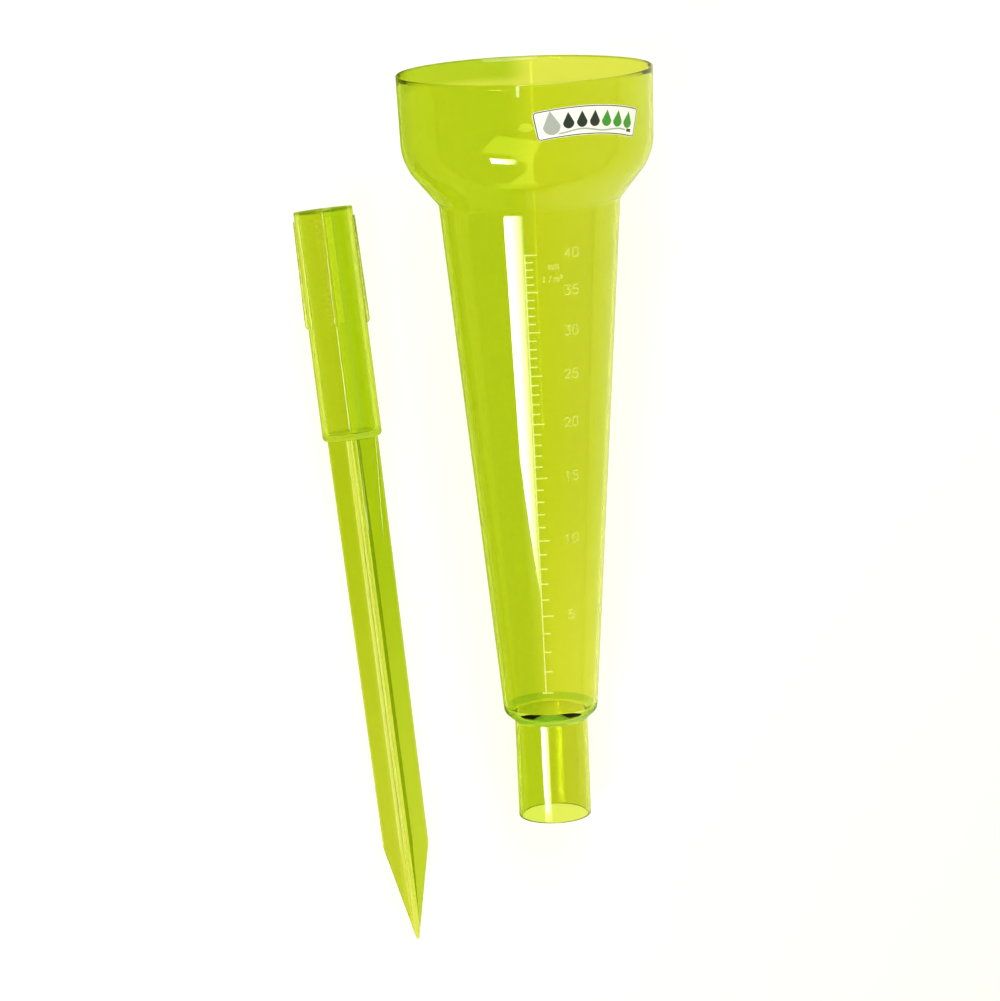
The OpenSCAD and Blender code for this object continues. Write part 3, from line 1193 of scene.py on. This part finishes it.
@dataclass
class Stake:
    """The stake's one-piece moulding: hollow plug with grip ribs, crossed blade and point."""

    placement: Placement = Placement(Matrix())
    roll: float = math.radians(-6)
    plug_len: float = 74 * MM
    plug_top_r: float = 9.45 * MM
    plug_foot_r: float = 9.55 * MM
    bore_r: float = 7.8 * MM
    plug_floor: float = 2 * MM
    plug_rim_r: float = 0.35 * MM
    bore_corner_r: float = 0.8 * MM
    lip_r: float = 1.5 * MM
    blade_len: float = 133.5 * MM
    blade_top_w: float = 16.2 * MM
    blade_foot_w: float = 14.6 * MM
    flange: float = 2 * MM
    point_len: float = 31 * MM
    tip_r: float = 0.5 * MM
    tip_flange_share: float = 0.5
    tip_arm_share: float = 0.85
    arms_start_share: float = 1.5
    arms_start_reach: float = 1.3
    rib_count: int = 4
    rib_w: float = 2.6 * MM
    rib_gap: float = 3 * MM
    rib_reach: float = 37.5 * MM
    rib_top_r: float = 9.9 * MM
    rib_r: float = 10.4 * MM
    rib_chamfer: float = 1 * MM
    edge_softness: float = 0.22 * MM
    sides: int = 128

    @property
    def plug_z(self) -> float:
        """Height of the plug's closed end above the tip."""
        return self.point_len + self.blade_len

    @property
    def top_z(self) -> float:
        """Height of the plug's open end above the tip."""
        return self.plug_z + self.plug_len

    def _plug(self) -> bmesh.types.BMesh:
        """The hollow plug.

        Returns:
            The plug as a closed solid.
        """
        return turned(
            [
                Corner(0.0, self.plug_z),
                Corner(self.plug_foot_r, self.plug_z, self.lip_r),
                Corner(self.plug_top_r, self.top_z, self.plug_rim_r),
                Corner(self.bore_r, self.top_z, self.plug_rim_r),
                Corner(self.bore_r, self.plug_z + self.plug_floor, self.bore_corner_r),
                Corner(0.0, self.plug_z + self.plug_floor),
            ],
            self.sides,
        )

    def _rib(self, turn: float) -> bmesh.types.BMesh:
        """One grip rib, which starts inside the plug's wall.

        Args:
            turn: its angle round the plug.

        Returns:
            The rib as a closed solid.
        """
        foot = self.top_z - self.rib_reach
        root = (self.bore_r + self.plug_top_r) / 2
        mesh = bmesh.new()
        places = [
            (root, foot),
            (self.rib_r - self.rib_chamfer / 2, foot),
            (self.rib_r, foot + self.rib_chamfer),
            (self.rib_top_r, self.top_z - self.rib_gap),
            (root, self.top_z - self.rib_gap),
        ]
        side = mesh.faces.new([mesh.verts.new((x, -self.rib_w / 2, z)) for x, z in places])
        pushed = bmesh.ops.extrude_face_region(mesh, geom=[side])["geom"]
        moved = [v for v in pushed if isinstance(v, bmesh.types.BMVert)]
        bmesh.ops.translate(mesh, vec=(0, self.rib_w, 0), verts=moved)
        bmesh.ops.recalc_face_normals(mesh, faces=list(mesh.faces))
        proud = [e for e in mesh.edges if min(v.co.x for v in e.verts) > root + MM]
        self._soften(mesh, proud)
        bmesh.ops.rotate(mesh, cent=(0, 0, 0), matrix=Matrix.Rotation(turn, 3, "Z"), verts=list(mesh.verts))
        return mesh

    def _soften(self, mesh: bmesh.types.BMesh, edges: list[bmesh.types.BMEdge]) -> None:
        """Rounds edges as a mould leaves them.

        Args:
            mesh: the mesh.
            edges: the edges of it that are rounded.
        """
        bmesh.ops.bevel(
            mesh,
            geom=edges,
            offset=self.edge_softness,
            offset_type="OFFSET",
            affect="EDGES",
            segments=3,
            profile=0.5,
            clamp_overlap=True,
            material=-1,
        )

    def _blade(self) -> bmesh.types.BMesh:
        """The crossed blade with its point, which ends inside the plug's floor.

        It is drawn up from a small cross at the tip. The flanges reach their full thickness a
        little above it, where the arms begin to show.

        Returns:
            The blade as one closed solid.
        """
        half = self.flange / 2
        full_r = math.hypot(self.blade_foot_w / 2, half)
        spread = (full_r - self.tip_r) / self.point_len
        arms_start = (half * self.arms_start_share - self.tip_r) / spread
        levels = [
            (0.0, self.tip_r * self.tip_flange_share, self.tip_r * self.tip_arm_share),
            (arms_start, half, half * self.arms_start_reach),
            (self.point_len, half, self.blade_foot_w / 2),
            (self.plug_z + self.plug_floor / 2, half, self.blade_top_w / 2),
        ]
        mesh = bmesh.new()
        start = [mesh.verts.new(p) for p in self._cross(*levels[0])]
        face = mesh.faces.new(start)
        for level in levels[1:]:
            pushed = bmesh.ops.extrude_face_region(mesh, geom=[face])["geom"]
            if level is not levels[1]:
                bmesh.ops.delete(mesh, geom=[face], context="FACES_ONLY")
            face = next(f for f in pushed if isinstance(f, bmesh.types.BMFace))
            for vert, place in zip([loop.vert for loop in face.loops], self._matching(face, level)):
                vert.co = place
        bmesh.ops.recalc_face_normals(mesh, faces=list(mesh.faces))
        lengthways = [
            e for e in mesh.edges if abs((e.verts[0].co - e.verts[1].co).normalized().z) > 0.9
        ]
        self._soften(mesh, [e for e in lengthways if min(v.co.z for v in e.verts) > MM])
        return mesh

    @staticmethod
    def _cross(height: float, half: float, arm: float) -> list[Vector]:
        """The twelve corners of a cross-shaped section.

        Args:
            height: where the section is.
            half: half the flanges' thickness.
            arm: how far the arms reach from the axis.

        Returns:
            The corners, in order round the cross.
        """
        quarter = [Vector((half, half, 0)), Vector((arm, half, 0)), Vector((arm, -half, 0))]
        turns = [Matrix.Rotation(-math.pi / 2 * i, 3, "Z") for i in range(4)]
        corners = [turn @ corner for turn in turns for corner in quarter]
        return [corner + Vector((0, 0, height)) for corner in corners]

    def _matching(self, face: bmesh.types.BMFace, level: tuple[float, float, float]) -> list[Vector]:
        """The corners of the section at a level, in the order of a face's own corners.

        Args:
            face: the end face of the blade so far.
            level: the next section's height, half thickness and reach.

        Returns:
            A place for each corner of the face.
        """
        corners = self._cross(*level)
        height = face.verts[0].co.z
        arm = max(abs(v.co.x) for v in face.verts)
        half = min(abs(v.co.x) for v in face.verts)
        old = self._cross(height, half, arm)
        places = []
        for loop in face.loops:
            nearest = min(range(len(old)), key=lambda i: (old[i] - loop.vert.co).length)
            places.append(corners[nearest])
        return places

    def build(self, plastic: ClearPlastic) -> bpy.types.Object:
        """Makes the moulding and dresses it.

        Args:
            plastic: its finish.

        Returns:
            The finished piece.
        """
        ribs = [self._rib(2 * math.pi * i / self.rib_count) for i in range(self.rib_count)]
        mesh = united("ground_stake", self._plug(), [*ribs, self._blade()])
        mark_edges(mesh)
        mesh.transform(self.placement.matrix)
        piece = as_object("ground_stake", mesh)
        piece.data.materials.append(plastic.material(self.placement))
        nodes = ("stake_plug", "grip_ribs", "ground_blade", "stake_point")
        report(piece, Body.STAKE, nodes)
        return piece


# ---------------------------------------------------------------- the studio


@dataclass(frozen=True)
class Lamp:
    """A soft rectangular lamp, which may fade out towards its right edge."""

    name: str
    place: tuple[float, float, float]
    aim: tuple[float, float, float]
    size: tuple[float, float]
    power: float
    fades: bool = False

    def hang(self, spared: bpy.types.Object) -> None:
        """Makes the lamp.

        Args:
            spared: a piece that a fading lamp leaves unlit.
        """
        data = bpy.data.lights.new(self.name, "AREA")
        data.shape = "RECTANGLE"
        data.size, data.size_y = self.size
        data.energy = self.power
        if self.fades:
            data.use_nodes = True
            graph = Graph(data.node_tree)
            across = graph.add("ShaderNodeNewGeometry").out("Parametric")
            split = graph.add("ShaderNodeSeparateXYZ", None, {"Vector": across})
            strength = 1 - split.value("X")
            glow = graph.add("ShaderNodeEmission", None, {"Strength": strength})
            graph.finish(glow.out("Emission"), "ShaderNodeOutputLight")
        lamp = bpy.data.objects.new(self.name, data)
        if self.fades:
            lit = bpy.data.collections.new(f"{self.name}_lights")
            for piece in bpy.context.scene.objects:
                if piece.type == "MESH" and piece is not spared:
                    lit.objects.link(piece)
            lamp.light_linking.receiver_collection = lit
        lamp.location = self.place
        away = Vector(self.aim) - Vector(self.place)
        lamp.rotation_euler = away.to_track_quat("-Z", "Y").to_euler()
        bpy.context.scene.collection.objects.link(lamp)


@dataclass(frozen=True)
class Studio:
    """White table, soft lamps and the camera.

    The softbox is bright at its left edge and dark at its right, and it gives the tall highlight on
    the cone and the tube. The fill lights the table, and the strip gives the stake a faint line.
    """

    floor_half: float = 4.0
    view_tilt: float = math.radians(5.253)
    view_offset: tuple[float, float, float] = (-17.857 * MM, 220.35 * MM, 1294.48 * MM)
    view_end: float = 20.0
    lens: float = 145.94
    sensor: float = 36.0
    left_wall: tuple[float, float, float] = (0.16, 0.20, 0.03)
    right_wall: tuple[float, float, float] = (0.40, 0.40, 0.26)
    far_wall: tuple[float, float, float] = (0.50, 0.56, 0.12)
    open_wall: tuple[float, float, float] = (0.92, 0.92, 0.90)
    right_share: tuple[float, float] = (0.3, 0.95)
    far_share: tuple[float, float] = (0.3, 0.9)
    lamps: tuple[Lamp, ...] = (
        Lamp("softbox", (-0.3975, -0.485, 1.0), (-0.3975, -0.485, 0.0), (0.535, 0.25), 15.4, True),
        Lamp("fill", (0.35, 1.25, 1.3), (0.0, 0.1, 0.0), (1.4, 1.2), 35.0),
        Lamp("strip", (-0.09, 0.0, 1.0), (-0.09, 0.0, 0.0), (0.05, 0.30), 0.3),
    )

    def floor(self) -> None:
        """Makes the table top."""
        mesh = bmesh.new()
        bmesh.ops.create_grid(mesh, x_segments=1, y_segments=1, size=self.floor_half)
        table = as_object("floor", mesh)
        table.data.materials.append(PaleFloor().material())

    def light(self, spared: bpy.types.Object) -> None:
        """Hangs the lamps and makes the room, whose pale walls are dim in the plastic's gloss.

        Args:
            spared: the piece that the fading lamp leaves unlit.
        """
        for lamp in self.lamps:
            lamp.hang(spared)
        world = bpy.data.worlds.new("studio_room")
        world.use_nodes = True
        graph = Graph(world.node_tree)
        here = graph.add("ShaderNodeTexCoord").out("Generated")
        split = graph.add("ShaderNodeSeparateXYZ", None, {"Vector": here})
        walls = graph.blend(split.value("X").ramp(*self.right_share), self.left_wall, self.right_wall)
        walls = graph.blend(split.value("Y").ramp(*self.far_share), walls, self.far_wall)
        path = graph.add("ShaderNodeLightPath")
        seen = path.value("Is Camera Ray").most(path.value("Is Transmission Ray"))
        walls = graph.blend(seen, walls, self.open_wall)
        back = graph.add("ShaderNodeBackground", None, {"Color": walls})
        graph.finish(back.out("Background"), "ShaderNodeOutputWorld")
        bpy.context.scene.world = world
        bpy.context.scene.view_settings.view_transform = "Standard"

    def camera(self, tube_end: Vector) -> None:
        """Sets up the camera.

        Args:
            tube_end: the middle of the open end of the gauge's tube.
        """
        data = bpy.data.cameras.new("camera")
        data.sensor_fit = "HORIZONTAL"
        data.sensor_width = self.sensor
        data.lens = self.lens
        data.clip_end = self.view_end
        camera = bpy.data.objects.new("camera", data)
        camera.location = tube_end + Vector(self.view_offset)
        camera.rotation_euler = (-self.view_tilt, 0.0, 0.0)
        bpy.context.scene.collection.objects.link(camera)
        bpy.context.scene.camera = camera


def mount(name: str) -> tuple[Vector, Vector, float]:
    """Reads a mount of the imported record.

    Args:
        name: the mount's name.

    Returns:
        Its place, its direction and its length, or 0 where it has none.
    """
    found = next(m for m in frame["record"]["mounts"] if m["name"] == name)
    return Vector(found["pos_m"]), Vector(found["axis"]), found["dims"].get("length_mm", 0) * MM


def gauge_placement() -> Placement:
    """How the gauge lies, from the bore of its tube and the rim of its mouth.

    Returns:
        The placement.
    """
    middle, down, length = mount("tube_bore")
    rim, _, _ = mount("mouth_rim")
    tube_end = middle + down * length / 2
    return Placement.laid(tube_end, -down, rim - tube_end)


def stake_placement(stake: Stake) -> Placement:
    """How the stake lies, from the bore of its plug.

    Args:
        stake: the moulding, which needn't be placed yet.

    Returns:
        The placement.
    """
    middle, up, length = mount("plug_bore")
    open_end = middle + up * length / 2
    tip = open_end - up * stake.top_z
    return Placement.laid(tip, up, Vector((0, 0, 1)), stake.roll)


def gauge_plastic(vessel: Vessel) -> ClearPlastic:
    """The gauge's plastic: the tube, the thick floor, the cone and bowl, and the far rim.

    Args:
        vessel: the moulding that it dresses.

    Returns:
        The finish.
    """
    edge = 0.2 * MM
    cone_z = vessel.foot_z + 15 * MM
    inside_z = vessel.mouth_z - 8.4 * MM
    rim_z = vessel.mouth_z - 0.7 * MM
    zones = (
        Zone(0.0, (0.67, 0.76, 0.08), (0.72, 0.76, 0.09)),
        Zone(vessel.tube_len + edge, (0.22, 0.49, 0.015), (0.26, 0.52, 0.020)),
        Zone(vessel.foot_z + edge, (0.668, 0.750, 0.082), (0.805, 0.825, 0.155)),
        Zone(cone_z, (0.664, 0.750, 0.080), (0.742, 0.785, 0.104), 70 * MM),
        Zone(inside_z, (0.47, 0.63, 0.022), (0.74, 0.79, 0.10), 3 * MM, True),
        Zone(rim_z, (0.36, 0.50, 0.03), (0.42, 0.55, 0.04), 0.3 * MM, True),
    )
    return VesselPlastic("clear_lime_gauge", zones, -7 * MM, 3 * MM)


def stake_plastic(stake: Stake) -> ClearPlastic:
    """The stake's plastic: the point, the solid blade, the lip, the hollow plug and its open end.

    Args:
        stake: the moulding that it dresses.

    Returns:
        The finish.
    """
    lip_z = stake.plug_z - 0.3 * MM
    zones = (
        Zone(0.0, (0.58, 0.63, 0.04), (0.52, 0.62, 0.03)),
        Zone(30 * MM, (0.48, 0.57, 0.014), (0.385, 0.52, 0.006), 110 * MM),
        Zone(lip_z, (0.48, 0.60, 0.03), (0.44, 0.60, 0.03)),
        Zone(stake.plug_z + stake.plug_floor, (0.675, 0.742, 0.087), (0.625, 0.745, 0.07)),
        Zone(stake.top_z - 1.3 * MM, (0.28, 0.38, 0.03), (0.30, 0.42, 0.03)),
    )
    return StakePlastic("clear_lime_stake", zones, -1 * MM, 1 * MM)


def dress_marks() -> None:
    """Gives the raised scale, numbers and unit marks, which keep the frame's meshes, their finishes, which
    paint them as pale highlights.
    """
    marks = RaisedMark().material()
    # The figures get the same painted highlight, fainter.
    figures = RaisedMark("raised_figure_highlight", opacity=0.28).material()
    finishes = {"rain_scale": marks, "scale_numerals": figures, "unit_marks": figures}
    for name, finish in finishes.items():
        node = frame["nodes"][name]
        node.data.materials.clear()
        node.data.materials.append(finish)
        log.info("%s: carried over with its raised mark finish", name)


def main() -> None:
    """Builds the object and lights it."""
    logging.basicConfig(level=logging.INFO, format="%(name)s %(message)s")
    vessel = Vessel(gauge_placement())
    vessel.build(gauge_plastic(vessel))
    Label(vessel).build()
    stake = Stake()
    stake.placement = stake_placement(stake)
    unlit = stake.build(stake_plastic(stake))
    dress_marks()
    studio = Studio()
    studio.floor()
    studio.light(unlit)
    studio.camera(vessel.placement.matrix.to_translation())


if __name__ == "__main__":
    main()
